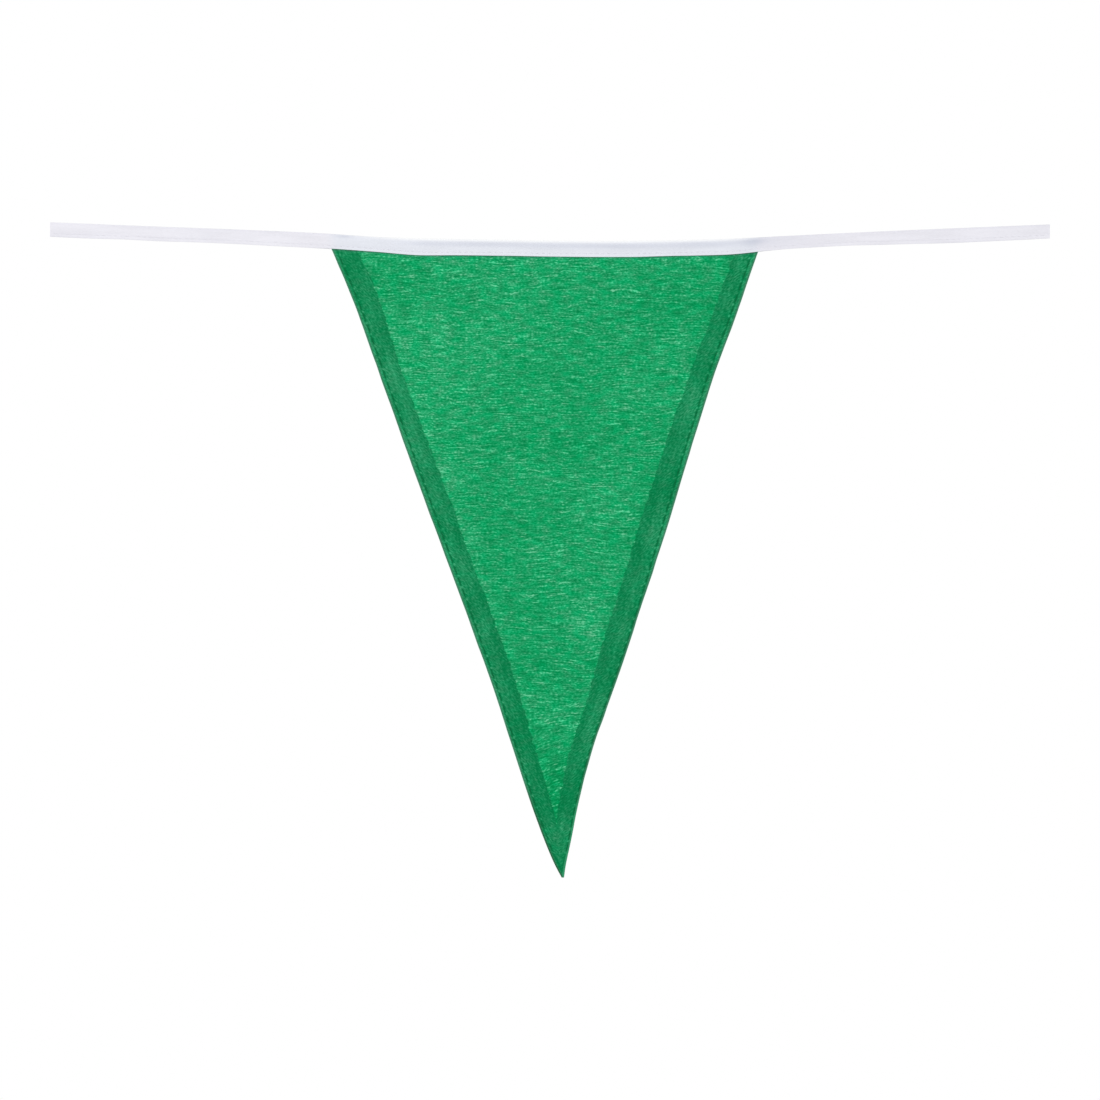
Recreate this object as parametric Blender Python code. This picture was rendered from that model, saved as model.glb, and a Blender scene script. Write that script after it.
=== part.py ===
"""Fabric bunting: a long green cloth pennant that hangs from a white tape folded over its top edge.

Metres, +Z up. X runs along the tape, the front faces -Y, and the origin is the middle of the tape's top edge.
The tables hold millimetres, as a maker would note them.
"""

import math
from collections import namedtuple

import bmesh
import bpy
import numpy as np

MM = 0.001

# The tape, a strip folded lengthwise into a front and a back leaf.
LEAF = 1.0 * MM  # thickness of each leaf
CREST_GAP = 0.15 * MM  # half of the space between the leaves, under the fold and where nothing lies in it
SHOULDER = 1.7 * MM  # height in which the leaves part to take the pennant
SEAT = 0.3 * MM  # clearance between the pennant's faces and the leaves
TAPER = 6.5 * MM  # length in which the leaves close up beyond the pennant's corners
CORNER_ROOM = 1.5 * MM  # what the opened stretch reaches past the pennant's corners and bands
STATIONS = 61  # cross-sections along the tape, besides those at the pennant's corners
CREST_STEPS = 8

# The route of the tape, read along its top edge: it sags, sways a little and is nowhere quite the same width.
TapeRow = namedtuple("TapeRow", "x top width sway")
TAPE = (
    TapeRow(-235.3, 8.7, 6.8, 0.6),
    TapeRow(-188.2, 6.8, 6.6, -0.5),
    TapeRow(-141.2, 5.0, 7.0, -0.9),
    TapeRow(-103.5, 3.3, 7.3, 0.0),
    TapeRow(-82.4, 2.0, 7.4, 0.4),
    TapeRow(-61.2, 1.2, 8.1, 0.5),
    TapeRow(-32.9, 0.6, 7.4, 0.0),
    TapeRow(0.0, 0.0, 7.6, -0.5),
    TapeRow(23.5, -0.2, 7.6, -0.6),
    TapeRow(47.1, 0.0, 7.7, -0.3),
    TapeRow(70.6, 0.7, 7.4, 0.2),
    TapeRow(87.1, 1.3, 7.7, 0.3),
    TapeRow(103.5, 2.1, 6.5, 0.0),
    TapeRow(141.2, 3.9, 5.9, -0.8),
    TapeRow(188.2, 5.8, 6.8, -0.3),
    TapeRow(235.3, 7.8, 6.7, 0.8),
)

# The pennant, by its corners at the tape's lower edge and its tip, as (x, z).
LEFT_CORNER = (-102.6 * MM, -4.1 * MM)
RIGHT_CORNER = (97.4 * MM, -5.5 * MM)
TIP = (6.0 * MM, -299.6 * MM)
TIP_WIDTH = 0.8 * MM
HIDDEN_SHARE = 0.0153  # of the pennant's length, held inside the tape
UPPER_EDGE_DROP = LEAF + CREST_GAP + SHOULDER  # from the tape's top edge, past its fold and shoulder
HEM_THICK = 1.8 * MM  # cloth with its turned edge inside
CLOTH_SHARE = 0.67  # thickness between the bands, as a share of the bands'
EDGE_SHARE = 0.5  # thickness at the rounded outer fold
GROOVE_SHARE = 0.8  # thickness where the edge stitching draws the layers together
LIP_CREST = 0.9 * MM  # distances from the outer fold, on a level line across the pennant
GROOVE = 2.0 * MM
GROOVE_END = 3.2 * MM
OVEREDGE = 3.3 * MM  # width of the strip of overedged raw cloth inside each band, next to its inner line
BAND_STEP = 0.5 * MM  # half of the width in which the band's inner step falls
MIDDLE_COLUMNS = 8
WELD = 0.2 * MM  # points nearer than this, where the bands are mitred, are made one
SMOOTH_UP_TO = math.radians(40)  # edges sharper than this stay sharp

# Runs of level lines down the pennant, by their shares of the way down: closer at the tape and at the tip.
RowRun = namedtuple("RowRun", "start end count")
ROW_RUNS = (
    RowRun(-HIDDEN_SHARE, 0.020, 7),
    RowRun(0.040, 0.920, 41),
    RowRun(0.940, 0.986, 4),
    RowRun(0.993, 1.000, 2),
)

# Both long edges, by the share of the way down: how far each bows out from a straight line between its ends
# (inwards is negative), and how wide its stitched band is on a level line.
EdgeRow = namedtuple("EdgeRow", "share left_bow right_bow left_band right_band")
EDGES = (
    EdgeRow(0.000, 0.0, -0.2, 12.4, 10.4),
    EdgeRow(0.050, -0.9, -0.8, 12.2, 10.6),
    EdgeRow(0.110, -1.3, -1.3, 11.6, 10.8),
    EdgeRow(0.200, -1.1, -3.0, 10.6, 11.4),
    EdgeRow(0.340, -0.7, -3.1, 10.8, 12.6),
    EdgeRow(0.450, -0.7, -2.7, 11.4, 12.9),
    EdgeRow(0.560, -0.8, -3.4, 11.5, 12.4),
    EdgeRow(0.660, -0.6, -3.8, 11.3, 11.5),
    EdgeRow(0.730, -0.1, -4.8, 10.7, 10.6),
    EdgeRow(0.790, 0.8, -5.5, 10.2, 9.9),
    EdgeRow(0.880, 1.8, -4.3, 9.6, 9.6),
    EdgeRow(0.930, 1.6, -2.8, 9.5, 9.5),
    EdgeRow(0.986, 0.7, -0.8, 9.5, 9.5),
    EdgeRow(1.000, 0.0, 0.0, 9.5, 9.5),
)

# Soft ridges (forward is positive) and hollows of the hanging cloth. Lean is from the plumb line, positive
# where the lower end lies further along +X. Length and width are half sizes of the swelling.
FoldRow = namedtuple("FoldRow", "x z lean length width forward")
FOLDS = (
    FoldRow(-43.0, -86.0, 14.0, 62.0, 15.0, 1.6),
    FoldRow(-15.0, -115.0, 8.0, 50.0, 13.0, -1.2),
    FoldRow(19.0, -165.0, -17.0, 42.0, 12.0, 1.5),
    FoldRow(-1.5, -208.0, -4.0, 26.0, 13.0, -1.0),
    FoldRow(54.0, -34.0, -50.0, 34.0, 16.0, -1.1),
    FoldRow(12.0, -62.0, -10.0, 45.0, 16.0, 0.6),
    FoldRow(78.0, -52.0, -16.0, 22.0, 14.0, -0.9),
    FoldRow(54.0, -129.0, -17.0, 22.0, 14.0, -1.0),
    FoldRow(31.0, -207.0, -17.0, 20.0, 12.0, -0.9),
    FoldRow(-28.0, -200.0, 20.0, 22.0, 13.0, -0.8),
)
RELEASE = 18.0 * MM  # depth below the tape in which the cloth is let go to form its folds
SWAY_REACH = 120.0 * MM  # depth in which the tape's own sway dies away in the cloth
SAG_REACH = 60.0 * MM  # depth in which the level lines lose the tape's sag
TIP_CURL = 2.6 * MM  # how far the tip swings forward
TIP_CURL_FROM = -215.0 * MM

GREEN = (0.016, 0.356, 0.136, 1.0)
WHITE = (0.87, 0.86, 0.91, 1.0)


def through(places, values, at):
    """Values read from a smooth curve through a table's rows, held level beyond its ends."""
    places, values = np.asarray(places, float), np.asarray(values, float)
    at = np.clip(at, places[0], places[-1])
    slopes = np.gradient(values, places)
    row = np.clip(np.searchsorted(places, at, side="right") - 1, 0, len(places) - 2)
    span = places[row + 1] - places[row]
    t = (at - places[row]) / span
    start = (1 + 2 * t) * (1 - t) ** 2 * values[row] + t * (1 - t) ** 2 * span * slopes[row]
    end = t * t * (3 - 2 * t) * values[row + 1] - t * t * (1 - t) * span * slopes[row + 1]
    return start + end


def tape_at(x, column):
    """One column of the tape's table at these places, in metres."""
    places = [row.x * MM for row in TAPE]
    return through(places, [getattr(row, column) * MM for row in TAPE], x)


def edge_at(share, column):
    """One column of the edges' table at these shares of the way down, in metres."""
    return through([row.share for row in EDGES], [getattr(row, column) * MM for row in EDGES], share)


def soft_step(t):
    """0 up to t = 0 and 1 from t = 1, with a smooth rise between."""
    t = np.clip(t, 0.0, 1.0)
    return t * t * (3 - 2 * t)


def swelling(x, z, fold):
    """The height of one ridge or hollow at these places, from 0 to 1."""
    lean = math.radians(fold.lean)
    dx, dz = x - fold.x * MM, z - fold.z * MM
    along = dx * math.sin(lean) - dz * math.cos(lean)
    across = dx * math.cos(lean) + dz * math.sin(lean)
    return np.exp(-((along / (fold.length * MM)) ** 2) - (across / (fold.width * MM)) ** 2)


def depth(x, z):
    """The y of the cloth's middle: the tape's sway at the top, then the folds and the tip's swing forward."""
    below = tape_at(x, "top") - tape_at(x, "width") - z
    sway = tape_at(x, "sway") * (1 - soft_step(below / SWAY_REACH))
    folds = sum(fold.forward * MM * swelling(x, z, fold) for fold in FOLDS)
    curl = TIP_CURL * soft_step((TIP_CURL_FROM - z) / (TIP_CURL_FROM - TIP[1]))
    return sway - soft_step(below / RELEASE) * (folds + curl)


def row_ends(share):
    """The left and right (x, z) of one level line of the pennant."""
    shown = max(share, 0.0)
    half_tip = TIP_WIDTH / 2
    left_x = LEFT_CORNER[0] + share * (TIP[0] - half_tip - LEFT_CORNER[0]) - edge_at(shown, "left_bow")
    right_x = RIGHT_CORNER[0] + share * (TIP[0] + half_tip - RIGHT_CORNER[0]) + edge_at(shown, "right_bow")
    left_z = LEFT_CORNER[1] + share * (TIP[1] - LEFT_CORNER[1])
    right_z = RIGHT_CORNER[1] + share * (TIP[1] - RIGHT_CORNER[1])
    return (left_x, left_z), (right_x, right_z)


def band_columns(band):
    """Distances from an outer edge at which its band has points, from the fold to past the inner line."""
    return np.array([0.0, LIP_CREST, GROOVE, GROOVE_END, band - OVEREDGE, band - BAND_STEP, band + BAND_STEP])


def row_columns(width, left_band, right_band):
    """Distances from the left end at which one line has its points.

    Each band keeps its own columns, and where the bands meet near the tip they are mitred on each other.
    """
    meeting = width * left_band / (left_band + right_band)
    from_left = np.minimum(band_columns(left_band), meeting)
    from_right = np.maximum(width - band_columns(right_band), meeting)[::-1]
    middle = np.linspace(from_left[-1], from_right[0], MIDDLE_COLUMNS + 1)[1:-1]
    return np.concatenate([from_left, middle, from_right])


def thickness_share(columns, width, left_band, right_band):
    """The cloth's thickness at each column, as a share of the bands'."""
    shares = []
    for place in columns:
        near_left = place * right_band < (width - place) * left_band
        distance, band = (place, left_band) if near_left else (width - place, right_band)
        marks = [0.0, LIP_CREST, GROOVE, GROOVE_END, band - BAND_STEP, band + BAND_STEP]
        levels = [EDGE_SHARE, 1.0, GROOVE_SHARE, 1.0, 1.0, CLOTH_SHARE]
        shares.append(float(np.interp(distance, marks, levels)))
    return shares


def pennant_rows():
    """Shares of the way down at which the pennant has a line of points."""
    return np.concatenate([np.linspace(run.start, run.end, run.count) for run in ROW_RUNS])


def principled(name, colour, roughness):
    material = bpy.data.materials.new(name)
    material.use_nodes = True
    shader = material.node_tree.nodes["Principled BSDF"]
    shader.inputs["Base Color"].default_value = colour
    shader.inputs["Roughness"].default_value = roughness
    shader.inputs["Metallic"].default_value = 0.0
    return material


def add_object(name, bm, material, parent):
    """A mesh object made from this bmesh, shaded smooth but for its real edges."""
    mesh = bpy.data.meshes.new(name)
    bm.to_mesh(mesh)
    bm.free()
    mesh.materials.append(material)
    mesh.shade_smooth()
    mesh.set_sharp_from_angle(angle=SMOOTH_UP_TO)
    made = bpy.data.objects.new(name, mesh)
    made.parent = parent
    bpy.context.scene.collection.objects.link(made)
    return made


def pennant_line(share):
    """The points (x, y, z) of one level line of the cloth's middle surface, and each one's thickness share."""
    (left_x, left_z), (right_x, right_z) = row_ends(share)
    shown = max(share, 0.0)
    width = right_x - left_x
    bands = edge_at(shown, "left_band"), edge_at(shown, "right_band")
    columns = row_columns(width, *bands)
    x = left_x + columns
    if share == -HIDDEN_SHARE:
        z = tape_at(x, "top") - UPPER_EDGE_DROP
    else:
        ends = [left_x, right_x]
        chord = np.interp(x, ends, tape_at(np.array(ends), "top"))
        sag_left = 1 - min(shown * abs(TIP[1]) / SAG_REACH, 1.0)
        z = np.interp(x, ends, [left_z, right_z]) + (tape_at(x, "top") - chord) * sag_left**2
    return zip(x, depth(x, z), z), thickness_share(columns, width, *bands)


def build_pennant(parent):
    """The cloth's middle surface as a grid with its bands' columns, thickened to its own thickness."""
    bm = bmesh.new()
    weights = bm.verts.layers.deform.verify()
    lines = []
    for share in pennant_rows():
        line = []
        for place, weight in zip(*pennant_line(share)):
            vertex = bm.verts.new(place)
            vertex[weights][0] = weight
            line.append(vertex)
        lines.append(line)
    for upper, lower in zip(lines, lines[1:]):
        for k in range(len(upper) - 1):
            bm.faces.new((upper[k], lower[k], lower[k + 1], upper[k + 1]))
    bmesh.ops.remove_doubles(bm, verts=bm.verts, dist=WELD)
    made = add_object("pennant", bm, principled("green_cloth", GREEN, 0.85), parent)
    made.vertex_groups.new(name="thickness")
    thicken = made.modifiers.new("Thickness", "SOLIDIFY")
    thicken.thickness = HEM_THICK
    thicken.offset = 0.0
    thicken.use_even_offset = True
    thicken.vertex_group = "thickness"
    return made


def leaf_gap(x):
    """Half of the space between the leaves at these places along the tape, by the cloth that lies in it."""
    (left, _), (right, _) = row_ends(-HIDDEN_SHARE)
    marks = gap_marks(left, right)
    band, middle = HEM_THICK / 2 + SEAT, HEM_THICK * CLOTH_SHARE / 2 + SEAT
    return np.interp(x, marks, [CREST_GAP, band, band, middle, middle, band, band, CREST_GAP])


def gap_marks(left, right):
    """Places along the tape where the space between its leaves starts or stops changing."""
    left_band_end = left + EDGES[0].left_band * MM + 2 * CORNER_ROOM
    right_band_end = right - EDGES[0].right_band * MM - 2 * CORNER_ROOM
    return (
        left - CORNER_ROOM - TAPER,
        left - CORNER_ROOM,
        left_band_end,
        left_band_end + TAPER,
        right_band_end - TAPER,
        right_band_end,
        right + CORNER_ROOM,
        right + CORNER_ROOM + TAPER,
    )


def leaf_line(radius, half, width, steps):
    """The strip's outer or inner line in section, from the front leaf's lower edge over to the back leaf's.

    radius is that of the fold, and half is the line's distance from the middle below the shoulder.
    """
    centre = -(LEAF + CREST_GAP)
    angles = np.linspace(math.pi, 0.0, steps + 1)
    crest = [(radius * math.cos(angle), centre + radius * math.sin(angle)) for angle in angles]
    levels = [-width, (centre - SHOULDER - width) / 2, centre - SHOULDER]
    return [(-half, z) for z in levels] + crest + [(half, z) for z in levels[::-1]]


def tape_section(x):
    """The closed outline of the folded tape at one place, as points (x, y, z)."""
    gap, width = float(leaf_gap(x)), float(tape_at(x, "width"))
    outer = leaf_line(CREST_GAP + LEAF, gap + LEAF, width, CREST_STEPS)
    inner = leaf_line(CREST_GAP, gap, width, CREST_STEPS // 2)
    sway, top = float(tape_at(x, "sway")), float(tape_at(x, "top"))
    return [(x, sway + y, top + z) for y, z in outer + inner[::-1]]


def tape_stations():
    """Places along the tape that get a cross-section, those where its gap changes among them."""
    (left, _), (right, _) = row_ends(-HIDDEN_SHARE)
    even = np.linspace(TAPE[0].x * MM, TAPE[-1].x * MM, STATIONS)
    marks = gap_marks(left, right)
    near = np.abs(even[:, None] - np.array(marks)).min(axis=1) < CORNER_ROOM
    return np.sort(np.concatenate([even[~near], marks]))


def build_tape(parent):
    """The folded tape, lofted through its cross-sections and cut square at both ends."""
    bm = bmesh.new()
    rings = [[bm.verts.new(place) for place in tape_section(x)] for x in tape_stations()]
    for first, second in zip(rings, rings[1:]):
        for k in range(len(first)):
            after = (k + 1) % len(first)
            bm.faces.new((first[k], first[after], second[after], second[k]))
    bm.faces.new(rings[0][::-1])
    bm.faces.new(rings[-1])
    bmesh.ops.recalc_face_normals(bm, faces=bm.faces)
    return add_object("tape", bm, principled("white_tape", WHITE, 0.8), parent)


def clear_scene():
    for old in list(bpy.data.objects):
        bpy.data.objects.remove(old)


clear_scene()
bunting = bpy.data.objects.new("bunting", None)
bpy.context.scene.collection.objects.link(bunting)
build_tape(bunting)
build_pennant(bunting)
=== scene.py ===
"""The looks of the fabric bunting: a green cloth pennant with stitched bands, under a white folded tape.

Metres, +Z up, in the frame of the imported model. X runs along the tape, the front faces -Y, and the
origin is the middle of the tape's top edge. The tables hold millimetres, as a maker would note them.
"""

import math
from collections import namedtuple

import bpy
import numpy as np
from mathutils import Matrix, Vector


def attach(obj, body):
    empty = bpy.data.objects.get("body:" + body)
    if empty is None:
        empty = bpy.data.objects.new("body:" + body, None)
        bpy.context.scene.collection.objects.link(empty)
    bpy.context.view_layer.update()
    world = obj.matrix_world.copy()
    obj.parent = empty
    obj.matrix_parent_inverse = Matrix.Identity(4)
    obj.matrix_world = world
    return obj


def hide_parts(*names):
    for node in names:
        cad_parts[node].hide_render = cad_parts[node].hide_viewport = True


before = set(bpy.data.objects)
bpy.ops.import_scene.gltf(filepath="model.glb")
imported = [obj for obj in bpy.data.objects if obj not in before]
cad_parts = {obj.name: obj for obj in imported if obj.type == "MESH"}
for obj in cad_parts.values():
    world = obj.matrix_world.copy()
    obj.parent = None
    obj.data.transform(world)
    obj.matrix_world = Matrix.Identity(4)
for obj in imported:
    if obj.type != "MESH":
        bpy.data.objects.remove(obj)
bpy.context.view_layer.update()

MM = 0.001


def table(columns, *rows):
    """A table's rows, whose values are read by the names of their columns."""
    row_kind = namedtuple("Row", columns)
    return [row_kind(*row) for row in rows]


# The camera looks square at the bunting. The picture is square, and takes in the tape from end to end.
PICTURE_SIDE = 517.66 * MM
PICTURE_CENTRE_Z = -145.7 * MM
CAMERA_DISTANCE = 1.8
SENSOR = 36.0

# The tape, a strip folded lengthwise into a front and a back leaf.
TAPE_THICK = 0.45 * MM
FOLD_INSIDE = 0.10 * MM  # radius inside the fold, and half of the space between leaves that hold nothing
SHOULDER = 1.7 * MM  # height in which the leaves part to take the pennant
SEAT = 0.06 * MM  # clearance between the pennant's faces and the leaves
TAPER = 6.5 * MM  # length in which the leaves close up beyond the pennant's corners
CORNER_ROOM = 1.5 * MM  # what the opened stretch reaches past the pennant's corners and bands
TAPE_STATIONS = 420
LEAF_LEVELS = 20  # points up each leaf
FOLD_STEPS = 10  # points over the fold
CREASE = 2.0 * MM  # the shallow crease above the pennant's hidden edge, below the tape's top
CREASE_DEEP = 0.14 * MM
CREASE_WIDE = 0.32 * MM
TAPE_SEAM = 1.5 * MM  # the tape's line of stitching, above its lower edge
SEAM_DEEP = 0.04 * MM
SEAM_WIDE = 0.5 * MM
SEAM_STATIONS = 600  # points along that line
LEAST_GAP = 0.02 * MM  # half of the space that the leaves keep where they are drawn together
TAPE_RIPPLE = 0.12 * MM  # how far the lower edges wave forward and back
RIPPLE_LENGTH = 13.0 * MM
RIPPLE_SEED = 42
TAPE_UNEVENNESS = 0.12 * MM  # how much the width varies
UNEVEN_LENGTH = 17.0 * MM
UNEVEN_SEED = 41
WAVER_START = 1.0  # metres added to x where uneven curves along the tape are read, to keep it positive

TAPE = table(
    "x top width sway",
    (-235.3, 8.6, 6.8, 0.6),
    (-188.2, 6.6, 6.7, -0.5),
    (-141.2, 4.8, 6.8, -0.9),
    (-103.5, 3.1, 7.1, 0.0),
    (-82.4, 1.7, 7.1, 0.4),
    (-61.2, 1.0, 7.9, 0.5),
    (-32.9, 0.5, 7.6, 0.0),
    (0.0, -0.1, 7.6, -0.5),
    (23.5, -0.3, 7.5, -0.6),
    (47.1, -0.1, 7.6, -0.3),
    (70.6, 0.4, 7.4, 0.2),
    (87.1, 0.9, 7.5, 0.3),
    (103.5, 1.7, 6.4, 0.0),
    (141.2, 3.5, 6.0, -0.8),
    (188.2, 5.6, 6.7, -0.3),
    (235.3, 7.6, 6.6, 0.8),
)

# Painted shade on the tape, by the middles of its soft dark places along it and below its top, and their
# half sizes:
# in the crease above the pennant's hidden edge, and where the tape puckers as it opens over the pennant's
# corners.
SHADES = table(
    "x below length height dark",
    (-96.5, 1, 4, 0.6, 0.30),
    (-60, 2.4, 9, 1.1, 0.16),
    (-38, 2.4, 20, 1.3, 0.25),
    (0, 2.5, 24, 1.3, 0.25),
    (38, 2.5, 22, 1.4, 0.27),
    (74, 2.3, 18, 1.6, 0.27),
    (96.5, 1.7, 6, 1.2, 0.26),
    (96, 3.2, 5, 2.4, 0.12),
    (106, 2.6, 17, 3, 0.15),
)
CREST_HIGH = 0.95 * MM  # height of the painted highlight on the crest, where the fold stands full over the pennant
CREST_FROM = -102.0 * MM  # where along the tape that crest begins
CREST_GROWTH = 42.0 * MM  # length in which it grows to its full white
CREST_TO = 104.0 * MM  # where the crest has gone again
CREST_LOSS = 30.0 * MM  # length in which it goes

# Thin lines of painted shade inside the free tape's rounded folded top and inside its lower edge, by their
# distance inside it, their half width and the length of their uneven patches.
EdgeLine = namedtuple("EdgeLine", "dark inset width wavelength seed")
TOP_LINE = EdgeLine(0.10, 0.4, 0.5, 30.0, 51)
LOW_LINE = EdgeLine(0.07, 0.2, 0.5, 22.0, 52)

# The pennant, by its corners at the tape's lower edge and its tip, as (x, z).
LEFT_CORNER = (-102.6 * MM, -4.1 * MM)
RIGHT_CORNER = (97.4 * MM, -5.5 * MM)
TIP = (6.0 * MM, -299.6 * MM)
TIP_WIDTH = 0.8 * MM
HIDDEN_SHARE = 0.0153  # of the pennant's length, held inside the tape
UPPER_EDGE_DROP = 2.85 * MM  # from the tape's top edge to the pennant's hidden upper edge
CLOTH_HALF = 0.36 * MM  # half thicknesses, between the bands and in them
BAND_HALF = 0.56 * MM
FOLD_ROUND = 0.55 * MM  # distance from the outer edge in which the folded edge rounds off
RIM_HALF = 0.03 * MM
GROOVE_DEEP = 0.17 * MM  # where the edge stitching draws the layers together
GROOVE_WIDE = 0.50 * MM
OVEREDGE = 3.3 * MM  # width of the overedged raw cloth inside each band, next to its inner line
OVEREDGE_RISE = 0.06 * MM
BAND_STEP = 0.45 * MM  # half of the width in which the band's inner step falls
EDGE_ZONE = 14.0 * MM  # width of the closely spaced columns along each edge
NARROW_ZONES = 2.2  # a level line shorter than this many such zones has narrower ones
FOLD_ZONE = 3.2 * MM  # width of the closest columns, next to the outer edge
FOLD_CROWDING = 1.25  # how much they close up towards it
FOLD_COLUMNS = 12
BAND_COLUMNS = 18
MIDDLE_COLUMNS = 88
PENNANT_ROWS = 270
HIDDEN_ROWS = 5

EDGES = table(
    "share left_bow right_bow left_band right_band",
    (0.000, 0.20, 0.50, 12.1, 10.9),
    (0.050, -0.66, -0.09, 13.0, 11.1),
    (0.085, -1.05, -0.35, 12.5, 11.3),
    (0.120, -1.20, -0.70, 11.7, 11.5),
    (0.160, -0.98, -1.60, 11.2, 11.7),
    (0.200, -0.76, -2.23, 11.1, 11.6),
    (0.275, -0.55, -2.38, 11.4, 12.5),
    (0.340, -0.42, -2.38, 11.6, 12.8),
    (0.400, -0.38, -2.26, 12.0, 13.3),
    (0.450, -0.35, -2.17, 11.8, 13.5),
    (0.510, -0.43, -2.45, 11.6, 13.0),
    (0.560, -0.49, -2.78, 11.8, 12.7),
    (0.620, -0.42, -3.10, 11.8, 12.7),
    (0.660, -0.38, -3.35, 11.8, 12.0),
    (0.730, 0.10, -4.23, 11.3, 10.7),
    (0.790, 0.82, -4.95, 10.6, 10.5),
    (0.850, 1.60, -4.40, 10.2, 9.8),
    (0.890, 1.90, -3.60, 9.5, 9.1),
    (0.930, 1.84, -2.16, 8.3, 8.1),
    (0.986, 0.83, -0.45, 9.5, 9.5),
    (1.000, 0.10, 0.20, 9.5, 9.5),
)

# How far inside each long edge its line of stitching runs, on a level line.
SEAMS = table(
    "share left right",
    (0.00, 2.30, 2.70),
    (0.25, 2.35, 2.75),
    (0.38, 2.55, 2.60),
    (0.47, 2.40, 2.25),
    (0.55, 2.25, 1.45),
    (0.70, 1.95, 1.20),
    (1.00, 1.70, 1.10),
)

# Soft ridges (forward is positive) and hollows of the hanging cloth. Lean is from the plumb line, positive
# where the lower end lies further along +X. Length and width are half sizes.
FOLDS = table(
    "x z lean length width forward",
    (-43, -86, 14, 62, 15, 1.6),
    (-15, -115, 8, 50, 13, -1.2),
    (19, -165, -17, 42, 12, 1.5),
    (-1.5, -208, -4, 26, 13, -1),
    (54, -34, -50, 34, 16, -1.1),
    (12, -62, -10, 45, 16, 0.6),
    (78, -52, -16, 22, 14, -0.9),
    (54, -129, -17, 22, 14, -1),
    (31, -207, -17, 20, 12, -0.9),
    (-28, -200, 20, 22, 13, -0.8),
)

# Soft light and dark places on the cloth, where folds and slack places catch the light or turn from it.
TONES = table(
    "x z lean length width light",
    (-49, -52, 14, 20, 12, 0.14),
    (-44.5, -113, 14, 9, 8, 0.10),
    (-47, -12, 0, 7, 12, 0.08),
    (52, -74, 0, 8, 9, 0.06),
    (19, -169, -10, 16, 8, 0.09),
    (-66, -80, 20, 13, 4.5, 0.12),
    (66.5, -72, -17, 11, 7, 0.12),
    (38.5, -165, -17, 14, 6, 0.07),
    (17.5, -228, -14, 16, 5, 0.14),
    (0, -94, 0, 7, 38, -0.07),
    (-8, -136, 0, 7, 27, -0.09),
    (-10, -203, 0, 7, 14, -0.11),
    (-7, -230, 14, 13, 6, -0.08),
    (70, -28, 0, 14, 18, -0.08),
    (-75, -28, 20, 14, 5, -0.09),
    (-93, -14, 20, 8, 6, -0.16),
    (78.5, -41, -17, 10, 6, -0.08),
    (-16.5, -226, 20, 42, 6, -0.09),
    (27, -201, -17, 7, 6, -0.06),
    (3, -263, 0, 16, 13, -0.18),
)

RELEASE = 18.0 * MM  # depth below the tape in which the cloth is let go to form its folds
SWAY_REACH = 120.0 * MM  # depth in which the tape's own sway dies away in the cloth
SAG_REACH = 60.0 * MM  # depth in which the level lines lose the tape's sag
TIP_CURL = 2.6 * MM  # how far the tip swings forward
TIP_CURL_FROM = -215.0 * MM

# Small cockles along the stitched edges, where the seam draws the cloth in: long and short ones.
COCKLES = table(
    "wavelength height reach seed",
    (21.0, 0.20, 16.0, 11),
    (8.0, 0.09, 6.0, 12),
)
RIGHT_SHIFT = 1.0  # metres added to the way down the right edge, so that it cockles in its own way
EDGE_WAVER = 0.10 * MM  # unevenness of the outer edges, side to side
EDGE_WAVER_LENGTH = 7.0 * MM
EDGE_WAVER_REACH = 5.0 * MM  # how far into the cloth it dies away
EDGE_WAVER_SEEDS = (31, 32)
FREED_SHARE = 0.04  # of the way down, in which cockles and unevenness set in below the tape
WAVER_KNOTS = 256

# How light the doubled bands look across their width: a painted highlight on the lip outside the stitching,
# painted shade in the groove at it, a painted highlight on the soft ridge inside it, and the overedged strip
# next to the inner line, darker where the overedging inside shows through. Places are shares of the way from
# BAND_PROFILE_FROM to
# BAND_PROFILE_TO, both measured inwards from the stitching.
BAND_PROFILE_FROM = -2.5 * MM
BAND_PROFILE_TO = 10.0 * MM
BAND_PROFILE = table(
    "place level",
    (0.06, 0.58),
    (0.13, 0.64),
    (0.17, 0.30),
    (0.20, -0.08),
    (0.225, 0.04),
    (0.255, 0.28),
    (0.295, 0.46),
    (0.33, 0.44),
    (0.39, 0.39),
    (0.45, 0.41),
    (0.54, 0.51),
    (0.60, 0.48),
    (0.66, 0.37),
    (0.74, 0.33),
)

# Stitches: the length of each with the hole between it and the next, the part that shows, and the thread.
StitchKind = namedtuple("StitchKind", "pitch shown thick seed")
EDGE_STITCH = StitchKind(5.75, 0.90, 0.34, 21)
TAPE_STITCH = StitchKind(2.8, 0.82, 0.20, 22)
STITCH_RINGS = 7
STITCH_SIDES = 6
STITCH_STRAY = 0.12  # how far its ends stray sideways, in radii of the thread
STITCH_RIDE = 0.75  # how high its middle rides on the cloth, in radii
STITCH_DIP = 1.6  # how far its ends dip from there into their holes, in radii
STITCH_DIP_POWER = 3  # how near to its ends it stays level
STITCH_THINNING = 0.45  # the share of its radius that it loses at its ends
STITCH_FLATNESS = 0.8  # its height as a share of its width
SEAM_END_SHARE = 0.972  # of the way down, where the two lines of stitching meet above the tip
SEAM_SHARES = np.linspace(0.0, SEAM_END_SHARE, 400)

SHARP_ANGLE = math.radians(70)  # edges of the sheets sharper than this stay sharp

# The yarns of the cloth: how far they wander up and down, with the grain of that wandering, and how they
# slant towards the tip.
SLOW_WANDER = 5.0 * MM
SLOW_GRAIN = (26, 0, 15)
QUICK_WANDER = 1.2 * MM
QUICK_GRAIN = (5.5, 0, 3.5)
SLANT_FROM = -214.0 * MM
SLANT_TO = -242.0 * MM
SLANT = 0.34
YARN_PITCH = 0.52  # of the cloth and of the tape, in millimetres
TAPE_YARN_PITCH = 0.40
PLY_LENGTH = 0.30 * MM  # from ply to ply of the sewing thread

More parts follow.
